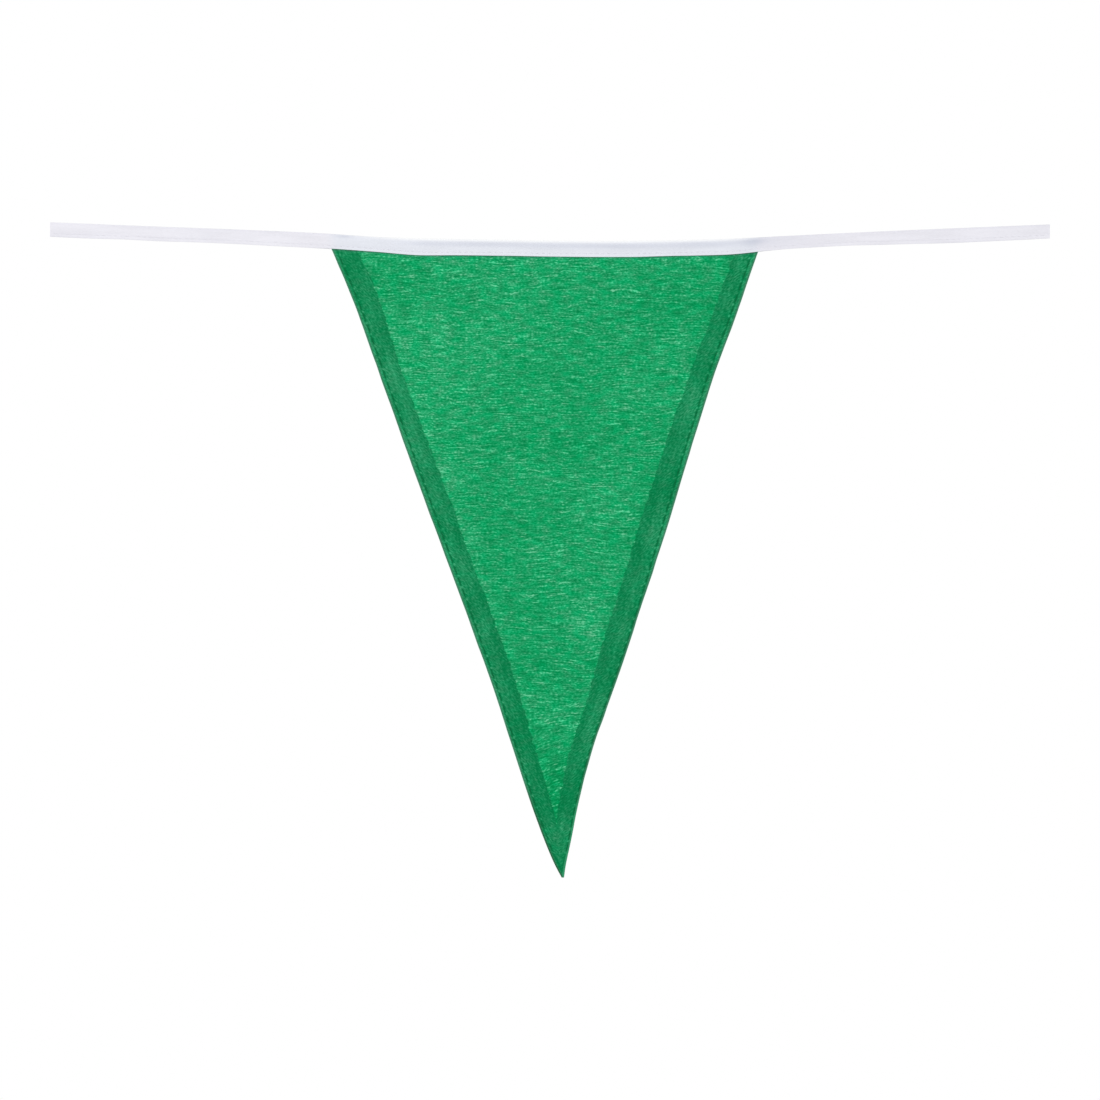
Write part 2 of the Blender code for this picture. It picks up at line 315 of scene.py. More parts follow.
# Pale slubs along the yarns. Each kind lies in cells of this length and height, and shows in more of them
# the lower its limit is, from the barest to the fullest patches. Size is what a slub takes of its cell.
SlubKind = namedtuple("SlubKind", "length height bare_limit full_limit size")
LONG_SLUBS = SlubKind(8.0, 1.3, 0.86, 0.40, 0.48)
SHORT_SLUBS = SlubKind(3.2, 0.9, 0.84, 0.52, 0.46)
TIP_SLUBS = SlubKind(1.9, 0.82, 0.24, 0.00, 0.92)
PATCHES = (0.36, 0.66)  # the noise's values in the barest and the fullest patches

# Depths between which the cloth takes on the look of its narrow end, and its outer edges that of the tip.
NARROW_END = (-232.0 * MM, -258.0 * MM)
TIP_EDGES = (-250.0 * MM, -272.0 * MM)

# Greens of the single cloth and of the doubled bands, in a clear and a greyish kind, and the tape's whites,
# all from dark to light, as a screen shows them.
CLOTH_GREENS = table(
    "place clear greyish",
    (0.00, (0, 141, 77), (5, 130, 74)),
    (0.10, (0, 147, 83), (11, 136, 80)),
    (0.27, (3, 155, 91), (26, 145, 89)),
    (0.50, (16, 166, 102), (44, 155, 101)),
    (0.73, (38, 180, 118), (68, 169, 118)),
    (0.85, (58, 193, 132), (86, 182, 132)),
    (1.00, (88, 212, 153), (114, 200, 154)),
)
BAND_GREENS = table(
    "place clear greyish",
    (0.00, (0, 124, 70), (6, 118, 67)),
    (0.25, (8, 134, 80), (24, 125, 78)),
    (0.50, (22, 146, 92), (41, 134, 88)),
    (0.75, (38, 157, 104), (56, 145, 100)),
    (1.00, (56, 170, 118), (73, 158, 114)),
)
TAPE_WHITES = table(
    "place white",
    (0.30, (227, 226, 233)),
    (0.50, (234, 233, 240)),
    (0.70, (239, 238, 245)),
)

# Tints along the outer edges: how far inside each begins and is full, how strong it is, and the side of the
# tip that it keeps to, if any. The first is painted shade where the folded edge turns from the light, the
# second a painted lighter green at the very rim against the shading there, and the last two tint the tip's
# edges, darker on its left.
RIMS = table(
    "begins full strength shade side",
    (1.30, 0.20, 0.85, (76, 110, 95), None),
    (0.42, 0.12, 0.90, (66, 172, 126), None),
    (1.40, 0.55, 0.75, (38, 96, 62), "left"),
    (1.15, 0.80, 0.75, (52, 156, 108), "right"),
)

# The studio: a floor below and out of the main picture, which turns clear towards its rim, and soft lights.
FLOOR_HALF = 1.25
FLOOR_LEVEL = -0.62
FLOOR_FORWARD = -0.05
FLOOR_FADE = (0.50, 1.20)
AMBIENT_LIGHT = 0.56
LIGHTS = table(
    "name place power size",
    ("key", (-0.9, -1.6, 0.9), 18.0, 1.1),
    ("fill", (1.4, -1.2, 0.2), 6.5, 1.2),
    ("back_fill", (0.6, 1.6, 0.7), 14.0, 1.2),
)


def through(places, values, at):
    """Values read from a smooth curve through a table's rows, held level beyond its ends."""
    places, values = np.asarray(places, float), np.asarray(values, float)
    at = np.clip(at, places[0], places[-1])
    slopes = np.gradient(values, places)
    row = np.clip(np.searchsorted(places, at, side="right") - 1, 0, len(places) - 2)
    span = places[row + 1] - places[row]
    t = (at - places[row]) / span
    start = (1 + 2 * t) * (1 - t) ** 2 * values[row] + t * (1 - t) ** 2 * span * slopes[row]
    end = t * t * (3 - 2 * t) * values[row + 1] - t * t * (1 - t) * span * slopes[row + 1]
    return start + end


def tape_at(x, column):
    """One column of the tape's table at these places, in metres."""
    places = [row.x * MM for row in TAPE]
    return through(places, [getattr(row, column) * MM for row in TAPE], x)


def edge_at(share, column):
    """One column of the edges' table at these shares of the way down, in metres."""
    return through([row.share for row in EDGES], [getattr(row, column) * MM for row in EDGES], share)


def seam_at(share, side):
    """How far inside its edge one line of stitching runs, at these shares of the way down."""
    return through([row.share for row in SEAMS], [getattr(row, side) * MM for row in SEAMS], share)


def soft_step(t):
    """0 up to t = 0 and 1 from t = 1, with a smooth rise between."""
    t = np.clip(t, 0.0, 1.0)
    return t * t * (3 - 2 * t)


def bell(t):
    """1 at t = 0, falling smoothly to both sides."""
    return np.exp(-(t**2))


def bell_about(at, middle, half):
    """A bell over a length in metres, by its middle and half width in millimetres."""
    return bell((at - middle * MM) / (half * MM))


def waver(at, wavelength, seed):
    """An uneven smooth curve between -1 and 1 along a length, the same on each run."""
    knots = np.random.default_rng(seed).uniform(-1, 1, WAVER_KNOTS)
    place = np.asarray(at, float) / wavelength
    before = np.floor(place).astype(int)
    blend = soft_step(place - before)
    return knots[before % WAVER_KNOTS] * (1 - blend) + knots[(before + 1) % WAVER_KNOTS] * blend


def swelling(x, z, fold):
    """The height of one ridge or hollow at these places, from 0 to 1."""
    lean = math.radians(fold.lean)
    dx, dz = x - fold.x * MM, z - fold.z * MM
    along = dx * math.sin(lean) - dz * math.cos(lean)
    across = dx * math.cos(lean) + dz * math.sin(lean)
    return np.exp(-((along / (fold.length * MM)) ** 2) - (across / (fold.width * MM)) ** 2)


def depth(x, z):
    """The y of the cloth's middle: the tape's sway at the top, then folds and the tip's swing forward."""
    below = tape_at(x, "top") - tape_at(x, "width") - z
    sway = tape_at(x, "sway") * (1 - soft_step(below / SWAY_REACH))
    folds = sum(fold.forward * MM * swelling(x, z, fold) for fold in FOLDS)
    curl = TIP_CURL * soft_step((TIP_CURL_FROM - z) / (TIP_CURL_FROM - TIP[1]))
    return sway - soft_step(below / RELEASE) * (folds + curl)


def row_ends(share):
    """The left and right (x, z) of level lines of the pennant."""
    shown = np.maximum(share, 0.0)
    left_end = TIP[0] - TIP_WIDTH / 2
    right_end = TIP[0] + TIP_WIDTH / 2
    left_x = LEFT_CORNER[0] + share * (left_end - LEFT_CORNER[0]) - edge_at(shown, "left_bow")
    right_x = RIGHT_CORNER[0] + share * (right_end - RIGHT_CORNER[0]) + edge_at(shown, "right_bow")
    left_z = LEFT_CORNER[1] + share * (TIP[1] - LEFT_CORNER[1])
    right_z = RIGHT_CORNER[1] + share * (TIP[1] - RIGHT_CORNER[1])
    return (left_x, left_z), (right_x, right_z)


def level_line(share, places):
    """The (x, z) of points on a level line, by their distances from its left end."""
    (left_x, left_z), (right_x, right_z) = row_ends(share)
    x = left_x + places
    ends = np.array([left_x, right_x])
    sagging = tape_at(x, "top") - np.interp(x, ends, tape_at(ends, "top"))
    remaining = 1 - min(max(share, 0.0) * abs(TIP[1]) / SAG_REACH, 1.0)
    level = np.interp(x, ends, [left_z, right_z]) + sagging * remaining**2
    hidden = soft_step(-share / HIDDEN_SHARE)
    return x, level * (1 - hidden) + (tape_at(x, "top") - UPPER_EDGE_DROP) * hidden


def column_places(width):
    """Distances of a level line's points from its left edge: close in the bands, wider between them."""
    zone = EDGE_ZONE * min(1.0, width / (NARROW_ZONES * EDGE_ZONE))
    fold_share = FOLD_ZONE / EDGE_ZONE
    near_fold = np.linspace(0.0, fold_share, FOLD_COLUMNS + 1) ** FOLD_CROWDING
    near_fold /= fold_share ** (FOLD_CROWDING - 1)
    rest = np.linspace(fold_share, 1.0, BAND_COLUMNS + 1)[1:]
    near = zone * np.concatenate([near_fold, rest])
    middle = np.linspace(zone, width - zone, MIDDLE_COLUMNS + 1)[1:-1]
    return np.concatenate([near, middle, width - near[::-1]])


def side_relief(distance, share, side):
    """What one long edge does to the cloth: its band's share, its stitch groove and its rounded fold."""
    band = edge_at(max(share, 0.0), side + "_band")
    in_band = 1 - soft_step((distance - band + BAND_STEP) / (2 * BAND_STEP))
    overedge = in_band * soft_step((distance - band + OVEREDGE) / BAND_STEP)
    groove = bell((distance - seam_at(share, side)) / GROOVE_WIDE)
    rounding = np.sqrt(1 - np.clip(1 - distance / FOLD_ROUND, 0.0, 1.0) ** 2)
    return in_band, overedge, groove, rounding


def cockling(along, distance):
    """How far the stitched edge's cockles stand forward."""
    total = 0.0
    for row in COCKLES:
        height = row.height * MM * waver(along, row.wavelength * MM, row.seed)
        total = total + height * np.exp(-distance / (row.reach * MM))
    return total


def edge_waver(along, distance, seed):
    """How far an outer edge's unevenness shifts the cloth sideways."""
    return EDGE_WAVER * waver(along, EDGE_WAVER_LENGTH, seed) * np.exp(-distance / EDGE_WAVER_REACH)


def seam_middle(side):
    """The middle of the cloth under one long edge's line of stitching, as points from the top down."""
    middle = []
    for share in SEAM_SHARES:
        (left_x, _), (right_x, _) = row_ends(share)
        inset = seam_at(share, side)
        place = inset if side == "left" else right_x - left_x - inset
        x, z = level_line(share, np.array([place]))
        along = share * abs(TIP[1]) + (RIGHT_SHIFT if side == "right" else 0.0)
        cockles = cockling(along, inset) * soft_step(share / FREED_SHARE)
        middle.append((x[0], depth(x, z)[0] - cockles, z[0]))
    return np.array(middle)


def run_along(points):
    """The length run at each of a line of points."""
    return np.concatenate([[0.0], np.cumsum(np.linalg.norm(np.diff(points, axis=0), axis=1))])


def pennant_grids():
    """The cloth's front and back faces as grids of points, and the values for its material."""
    shares = np.concatenate(
        [np.linspace(-HIDDEN_SHARE, 0.0, HIDDEN_ROWS)[:-1], np.linspace(0.0, 1.0, PENNANT_ROWS)]
    )
    seam_runs = [run_along(seam_middle(side)) for side in ("left", "right")]
    middle, half, values = [], [], []
    for share in shares:
        (left_x, _), (right_x, _) = row_ends(share)
        width = right_x - left_x
        places = column_places(width)
        x, z = level_line(share, places)
        from_left, from_right = places, width - places
        down = share * abs(TIP[1])
        left, right = side_relief(from_left, share, "left"), side_relief(from_right, share, "right")
        in_band, overedge = np.maximum(left[0], right[0]), np.maximum(left[1], right[1])
        groove, rounding = left[2] + right[2], left[3] * right[3]
        thick = CLOTH_HALF + (BAND_HALF - CLOTH_HALF) * in_band
        thick = thick + OVEREDGE_RISE * overedge - GROOVE_DEEP * groove
        half.append(np.maximum(thick * rounding, RIM_HALF))
        free = soft_step(share / FREED_SHARE)
        cockles = cockling(down, from_left) + cockling(down + RIGHT_SHIFT, from_right)
        wander = edge_waver(down, from_left, EDGE_WAVER_SEEDS[0])
        wander = wander - edge_waver(down, from_right, EDGE_WAVER_SEEDS[1])
        middle.append(np.stack([x + wander * free, depth(x, z) - cockles * free, z], axis=-1))
        shown = max(share, 0.0)
        bands = edge_at(shown, "left_band"), edge_at(shown, "right_band")
        seams = seam_at(share, "left"), seam_at(share, "right")
        runs = [np.interp(share, SEAM_SHARES, run) for run in seam_runs]
        values.append(
            {
                "from_edge": np.minimum(from_left, from_right),
                "from_line": np.minimum(from_left - bands[0], from_right - bands[1]),
                "from_seam": np.minimum(from_left - seams[0], from_right - seams[1]),
                "seam_run": np.where(from_left < from_right, runs[0], runs[1]),
                "across": places / width,
                "below_tape": tape_at(x, "top") - tape_at(x, "width") - z,
                "light": sum(row.light * swelling(x, z, row) for row in TONES),
            }
        )
    middle, half = np.array(middle), np.array(half)[..., None]
    outward = np.cross(np.gradient(middle, axis=1), np.gradient(middle, axis=0))
    outward /= np.linalg.norm(outward, axis=-1, keepdims=True)
    values = {name: np.array([row[name] for row in values]) for name in values[0]}
    return middle - outward * half, middle + outward * half, values


def leaf_gap(x):
    """Half of the space between the tape's leaves at these places, by the cloth that lies in it."""
    (left, _), (right, _) = row_ends(-HIDDEN_SHARE)
    left_band_end = left + EDGES[0].left_band * MM + 2 * CORNER_ROOM
    right_band_end = right - EDGES[0].right_band * MM - 2 * CORNER_ROOM
    marks = [
        left - CORNER_ROOM - TAPER,
        left - CORNER_ROOM,
        left_band_end,
        left_band_end + TAPER,
        right_band_end - TAPER,
        right_band_end,
        right + CORNER_ROOM,
        right + CORNER_ROOM + TAPER,
    ]
    band, middle = BAND_HALF + SEAT, CLOTH_HALF + SEAT
    return np.interp(x, marks, [FOLD_INSIDE, band, band, middle, middle, band, band, FOLD_INSIDE])


def over_cloth(x):
    """1 where the pennant lies in the tape and 0 beyond it."""
    (left, _), (right, _) = row_ends(-HIDDEN_SHARE)
    return soft_step((x - left + CORNER_ROOM) / TAPER) * soft_step((right + CORNER_ROOM - x) / TAPER)


def tape_ripple(x, below, width):
    """How far the tape's leaves wave forward or back at these depths below its top."""
    return TAPE_RIPPLE * waver(x + WAVER_START, RIPPLE_LENGTH, RIPPLE_SEED) * below / width


def tape_shade(x, below, width):
    """How much painted shade the tape's crease, its puckering at the corners and its edge lines take here,
    from 0 to 1.
    """
    creases = sum(
        row.dark * bell_about(x, row.x, row.length) * bell_about(below, row.below, row.height)
        for row in SHADES
    )
    # The top line grows fainter and stronger along the tape, and the lower one comes and goes.
    top_swing = waver(x + WAVER_START, TOP_LINE.wavelength * MM, TOP_LINE.seed)
    low_swing = waver(x + WAVER_START, LOW_LINE.wavelength * MM, LOW_LINE.seed)
    # Both edge lines are painted shade where the free tape's top and lower edge round off.
    top_line = TOP_LINE.dark * bell_about(below, TOP_LINE.inset, TOP_LINE.width) * (0.75 + 0.5 * top_swing)
    low_line = LOW_LINE.dark * bell_about(width - below, LOW_LINE.inset, LOW_LINE.width)
    low_line = low_line * soft_step(low_swing + 0.4)
    free = 1 - over_cloth(x)
    return np.clip(creases + free * (top_line + low_line), 0.0, 1.0)


def tape_crest_highlight(x, below):
    """How much painted highlight the tape's full crest takes at these places, from 0 to 1."""
    grown = soft_step((x - CREST_FROM) / CREST_GROWTH) * soft_step((CREST_TO - x) / CREST_LOSS)
    return over_cloth(x) * grown * bell(below / CREST_HIGH)


def leaf_half(x, below):
    """The distance of a leaf's middle line from the middle of the tape, at these depths below its top."""
    fold_radius = FOLD_INSIDE + TAPE_THICK / 2
    centre = TAPE_THICK + FOLD_INSIDE
    opened = leaf_gap(x) + TAPE_THICK / 2
    parting = soft_step((below - centre) / SHOULDER)
    crease = CREASE_DEEP * over_cloth(x) * bell((below - CREASE) / CREASE_WIDE)
    seam = SEAM_DEEP * bell((tape_at(x, "width") - TAPE_SEAM - below) / SEAM_WIDE)
    drawn_in = fold_radius + (opened - fold_radius) * parting - crease - seam
    return np.maximum(drawn_in, TAPE_THICK / 2 + LEAST_GAP)


def tape_grids():
    """The folded tape's outer and inner faces as grids of points, and the values for its material."""
    fold_radius = FOLD_INSIDE + TAPE_THICK / 2
    centre = TAPE_THICK + FOLD_INSIDE
    angles = np.linspace(math.pi, 0.0, FOLD_STEPS + 1)
    middle, values = [], []
    for x in np.linspace(TAPE[0].x * MM, TAPE[-1].x * MM, TAPE_STATIONS):
        unevenness = waver(x + WAVER_START, UNEVEN_LENGTH, UNEVEN_SEED)
        width = tape_at(x, "width") + TAPE_UNEVENNESS * unevenness
        up_leaf = np.linspace(width, centre, LEAF_LEVELS + 1)[:-1]
        leaf = leaf_half(x, up_leaf)
        across = np.concatenate([-leaf, fold_radius * np.cos(angles), leaf[::-1]])
        below = np.concatenate([up_leaf, centre - fold_radius * np.sin(angles), up_leaf[::-1]])
        y = tape_at(x, "sway") + across + tape_ripple(x, below, width)
        middle.append(np.stack([np.full(len(y), x), y, tape_at(x, "top") - below], axis=-1))
        values.append(
            {
                "below_top": below,
                "over_cloth": np.full(len(y), over_cloth(x)),
                "shade": tape_shade(x, below, width),
                "crest": tape_crest_highlight(x, below),
            }
        )
    middle = np.array(middle)
    along_section = np.gradient(middle, axis=1)
    nothing = np.zeros(middle.shape[:2])
    outward = np.stack([nothing, -along_section[..., 2], along_section[..., 1]], axis=-1)
    outward /= np.linalg.norm(outward, axis=-1, keepdims=True)
    half = TAPE_THICK / 2
    values = {name: np.array([row[name] for row in values]) for name in values[0]}
    return middle + outward * half, middle - outward * half, values


def grid_quads(index):
    """The four corners of each cell of a grid of point numbers."""
    corners = [index[:-1, :-1], index[1:, :-1], index[1:, 1:], index[:-1, 1:]]
    return np.stack(corners, axis=-1).reshape(-1, 4)


def mesh_object(name, points, faces, material):
    """A smooth mesh object in the scene, from lists of points and faces."""
    mesh = bpy.data.meshes.new(name)
    mesh.from_pydata(points, [], faces)
    mesh.materials.append(material)
    mesh.shade_smooth()
    made = bpy.data.objects.new(name, mesh)
    bpy.context.scene.collection.objects.link(made)
    return made


def closed_sheet(name, front, back, values, material):
    """A closed mesh with these two grids of points as its faces, and named values at its points."""
    rows, columns = front.shape[:2]
    fore, aft = np.arange(2 * rows * columns).reshape(2, rows, columns)
    faces = np.concatenate(
        [
            grid_quads(fore),
            grid_quads(aft)[:, ::-1],
            grid_quads(np.stack([aft[:, 0], fore[:, 0]], axis=1)),
            grid_quads(np.stack([fore[:, -1], aft[:, -1]], axis=1)),
            grid_quads(np.stack([aft[0], fore[0]], axis=0)),
            grid_quads(np.stack([fore[-1], aft[-1]], axis=0)),
        ]
    )
    points = np.concatenate([front.reshape(-1, 3), back.reshape(-1, 3)])
    made = mesh_object(name, points.tolist(), faces.tolist(), material)
    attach(made, "root")
    made.data.set_sharp_from_angle(angle=SHARP_ANGLE)
    for key, grid in values.items():
        on_both_faces = np.concatenate([grid.ravel(), grid.ravel()]).astype(np.float32)
        attribute = made.data.attributes.new(key, "FLOAT", "POINT")
        attribute.data.foreach_set("value", on_both_faces)
    return made


def stitch_points(holes, outward, kind):
    """The rings of points of the stitches from hole to hole, lying on a face that looks outward."""
    start, end = holes[:-1], holes[1:]
    facing = (outward[:-1] + outward[1:]) / 2
    run = end - start
    sideways = np.cross(run, facing)
    sideways /= np.linalg.norm(sideways, axis=-1, keepdims=True)
    radius = kind.thick * MM / 2
    stray = np.random.default_rng(kind.seed).uniform(-STITCH_STRAY, STITCH_STRAY, (len(start), 1))
    rings = []
    for t in np.linspace(-1.0, 1.0, STITCH_RINGS):
        bent = abs(t) ** STITCH_DIP_POWER
        centre = (start + end) / 2 + run * (t * kind.shown / 2)
        centre = centre + facing * radius * (STITCH_RIDE - STITCH_DIP * bent)
        centre = centre + sideways * radius * stray * t
        wide = radius * (1 - STITCH_THINNING * bent)
        high = wide * STITCH_FLATNESS
        for angle in np.arange(STITCH_SIDES) * 2 * math.pi / STITCH_SIDES:
            rings.append(centre + sideways * wide * math.cos(angle) + facing * high * math.sin(angle))
    return np.stack(rings, axis=1)


def stitches(name, lines, kind, material):
    """One mesh of all the stitches along these lines, each given as its holes and its face's direction."""
    points, faces, offset = [], [], 0
    ring = np.arange(STITCH_RINGS * STITCH_SIDES).reshape(STITCH_RINGS, STITCH_SIDES)
    wall = grid_quads(np.concatenate([ring, ring[:, :1]], axis=1))
    for holes, outward in lines:
        threads = stitch_points(holes, outward, kind)
        count, size = threads.shape[:2]
        points.append(threads.reshape(-1, 3))
        for k in range(count):
            first = offset + k * size
            faces += (wall + first).tolist()
            faces.append((ring[0][::-1] + first).tolist())
            faces.append((ring[-1] + first).tolist())
        offset += count * size
    made = mesh_object(name, np.concatenate(points).tolist(), faces, material)
    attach(made, "root")
    return made


def evenly_along(points, outward, pitch):
    """Holes at an even pitch along a line of points, with the outward direction at each."""
    run = run_along(points)
    at = np.arange(pitch / 2, run[-1], pitch)
    holes = np.stack([np.interp(at, run, points[:, k]) for k in range(3)], axis=-1)
    facing = np.stack([np.interp(at, run, outward[:, k]) for k in range(3)], axis=-1)
    return holes, facing / np.linalg.norm(facing, axis=-1, keepdims=True)


def edge_seam_lines():
    """The lines of stitching along both long edges, on the front and on the back."""
    lines = []
    for side in ("left", "right"):
        middle = seam_middle(side)
        for facing in (-1.0, 1.0):
            outward = np.tile([0.0, facing, 0.0], (len(middle), 1))
            on_face = middle + outward * (BAND_HALF - GROOVE_DEEP)
            lines.append(evenly_along(on_face, outward, EDGE_STITCH.pitch * MM))
    return lines


def tape_seam_lines():
    """The tape's line of stitching, on the front and on the back."""
    x = np.linspace(TAPE[0].x * MM, TAPE[-1].x * MM, SEAM_STATIONS)
    width = tape_at(x, "width")
    below = width - TAPE_SEAM
    middle_y = tape_at(x, "sway") + tape_ripple(x, below, width)
    half = np.array([leaf_half(at, level) for at, level in zip(x, below)]) + TAPE_THICK / 2
    lines = []
    for facing in (-1.0, 1.0):
        outward = np.tile([0.0, facing, 0.0], (len(x), 1))
        points = np.stack([x, middle_y + facing * half, tape_at(x, "top") - below], axis=-1)
        lines.append(evenly_along(points, outward, TAPE_STITCH.pitch * MM))
    return lines


def shown_as(red, green, blue):
    """A linear colour from the 0 to 255 values that a screen shows."""
    shares = [value / 255 for value in (red, green, blue)]
    linear = [s / 12.92 if s <= 0.04045 else ((s + 0.055) / 1.055) ** 2.4 for s in shares]
    return (*linear, 1.0)


class Texture:
    """Builds one material's node tree, so that each step of its pattern reads as one call."""

    def __init__(self, name):
        self.material = bpy.data.materials.new(name)
        self.material.use_nodes = True
        self.nodes = self.material.node_tree.nodes
        self.links = self.material.node_tree.links
        self.shader = self.nodes["Principled BSDF"]

    def set(self, socket, value):
        """Links an output to a socket, or writes a constant in it."""
        if isinstance(value, bpy.types.NodeSocket):
            self.links.new(value, socket)
        else:
            socket.default_value = value

    def place(self):
        """The point on the surface, in the object's own metres."""
        return self.nodes.new("ShaderNodeTexCoord").outputs["Object"]

    def read(self, name):
        """A value that the mesh carries."""
        node = self.nodes.new("ShaderNodeAttribute")
        node.attribute_name = name
        return node.outputs["Fac"]

    def math(self, operation, first, second=0.0, third=0.0):
        """One calculation on up to three values."""
        node = self.nodes.new("ShaderNodeMath")
        node.operation = operation
        for socket, value in zip(node.inputs, (first, second, third)):
            self.set(socket, value)
        return node.outputs["Value"]

    def plus(self, first, second):
        """The sum of two values."""
        return self.math("ADD", first, second)

    def times(self, first, second):
        """The product of two values."""
        return self.math("MULTIPLY", first, second)

    def times_plus(self, first, second, third):
        """The product of two values, and a third added to it."""
        return self.math("MULTIPLY_ADD", first, second, third)

    def swing(self, noise, width):
        """A noise turned into a value to both sides of 0, over about this width."""
        return self.times_plus(noise, width, -width / 2)

    def stretched(self, place, grain):
        """A place divided by a grain in millimetres along x, y and z. A grain of 0 leaves that way out."""
        node = self.nodes.new("ShaderNodeVectorMath")
        node.operation = "MULTIPLY"
        self.set(node.inputs[0], place)
        self.set(node.inputs[1], tuple(1 / (size * MM) if size else 0.0 for size in grain))
        return node.outputs["Vector"]

    def parts(self, vector):
        """The x, y and z of a vector."""
        node = self.nodes.new("ShaderNodeSeparateXYZ")
        self.set(node.inputs["Vector"], vector)
        return node.outputs["X"], node.outputs["Y"], node.outputs["Z"]

    def joined(self, x, y, z):
        """A vector from its x, y and z."""
        node = self.nodes.new("ShaderNodeCombineXYZ")
        for socket, value in zip(node.inputs, (x, y, z)):
            self.set(socket, value)
        return node.outputs["Vector"]

    def noise(self, place, grain, detail=2.0, roughness=0.5):
        """Cloudy noise about 0.5, whose lumps are about as large as this grain."""
        node = self.nodes.new("ShaderNodeTexNoise")
        self.set(node.inputs["Vector"], self.stretched(place, grain))
        self.set(node.inputs["Scale"], 1.0)
        self.set(node.inputs["Detail"], detail)
        self.set(node.inputs["Roughness"], roughness)
        return node.outputs["Fac"]

    def cells(self, place, grain):
        """The distance to the nearest of points scattered with this grain, and a value for each of them."""
        node = self.nodes.new("ShaderNodeTexVoronoi")
        self.set(node.inputs["Vector"], self.stretched(place, grain))
        self.set(node.inputs["Scale"], 1.0)
        value, _, _ = self.parts(node.outputs["Color"])
        return node.outputs["Distance"], value

    def fade(self, value, start, end, low=0.0, high=1.0, course="SMOOTHSTEP"):
        """low where the value is at start, high where it is at end, and smooth or LINEAR between."""
        node = self.nodes.new("ShaderNodeMapRange")
        node.interpolation_type = course
        settings = {"Value": value, "From Min": start, "From Max": end, "To Min": low, "To Max": high}
        for name, setting in settings.items():
            self.set(node.inputs[name], setting)
        return node.outputs["Result"]

    def varied(self, base, *noises):
        """The base value, raised and lowered by each noise, given with its strength."""
        for noise, strength in noises:
            base = self.plus(base, self.swing(noise, strength))
        return base

    def mix(self, share, first, second, blend="MIX"):
        """The first colour, with this share of the second."""
        node = self.nodes.new("ShaderNodeMix")
        node.data_type = "RGBA"
        node.blend_type = blend
        for name, value in (("Factor_Float", share), ("A_Color", first), ("B_Color", second)):
            socket = next(s for s in node.inputs if s.identifier == name)
            self.set(socket, value)
        return next(s for s in node.outputs if s.identifier == "Result_Color")

    def ramp(self, value, stops):
        """Colours read by a value, from (place, colour) stops."""
        node = self.nodes.new("ShaderNodeValToRGB")
        elements = node.color_ramp.elements
        for element, (at, colour) in zip(elements, (stops[0], stops[-1])):
            element.position = at
            element.color = colour
        for at, colour in stops[1:-1]:
            elements.new(at).color = colour
        self.set(node.inputs["Fac"], value)
        return node.outputs["Color"]

    def shades(self, value, rows, column):
        """Colours read by a value, from one column of a table of shades."""
        return self.ramp(value, [(row.place, shown_as(*getattr(row, column))) for row in rows])

    def finish(self, colour, roughness, height, relief, **constants):
        """Links the pattern to the shader. Relief is what a height of 1 stands for, in metres."""
        bump = self.nodes.new("ShaderNodeBump")
        bump.inputs["Strength"].default_value = 1.0
        bump.inputs["Distance"].default_value = relief
        self.set(bump.inputs["Height"], height)
        self.set(self.shader.inputs["Base Color"], colour)
        self.set(self.shader.inputs["Roughness"], roughness)
        self.set(self.shader.inputs["Normal"], bump.outputs["Normal"])
        for name, value in constants.items():
            self.shader.inputs[name.replace("_", " ")].default_value = value
        return self.material


def woven(t, x, z, pitch):
    """The height of a plain weave with this many millimetres from yarn to yarn, from 0 to 1."""
    across = t.math("SINE", t.times(x, math.pi / (pitch * MM)))
    down = t.math("SINE", t.times(z, math.pi / (pitch * MM)))
    return t.times_plus(t.times(across, down), 0.5, 0.5)


def slubs(t, yarns, patches, kind):
    """Pale flecks along the yarns, 0 to 1: denser where patches is high, each of its own strength."""
    distance, chosen = t.cells(yarns, (kind.length, 0, kind.height))
    limit = t.fade(patches, *PATCHES, kind.bare_limit, kind.full_limit)
    strength = t.math("DIVIDE", t.math("SUBTRACT", chosen, limit), t.math("SUBTRACT", 1.0, limit))
    return t.times(t.fade(distance, kind.size, 0.10), t.fade(strength, 0.0, 0.7))


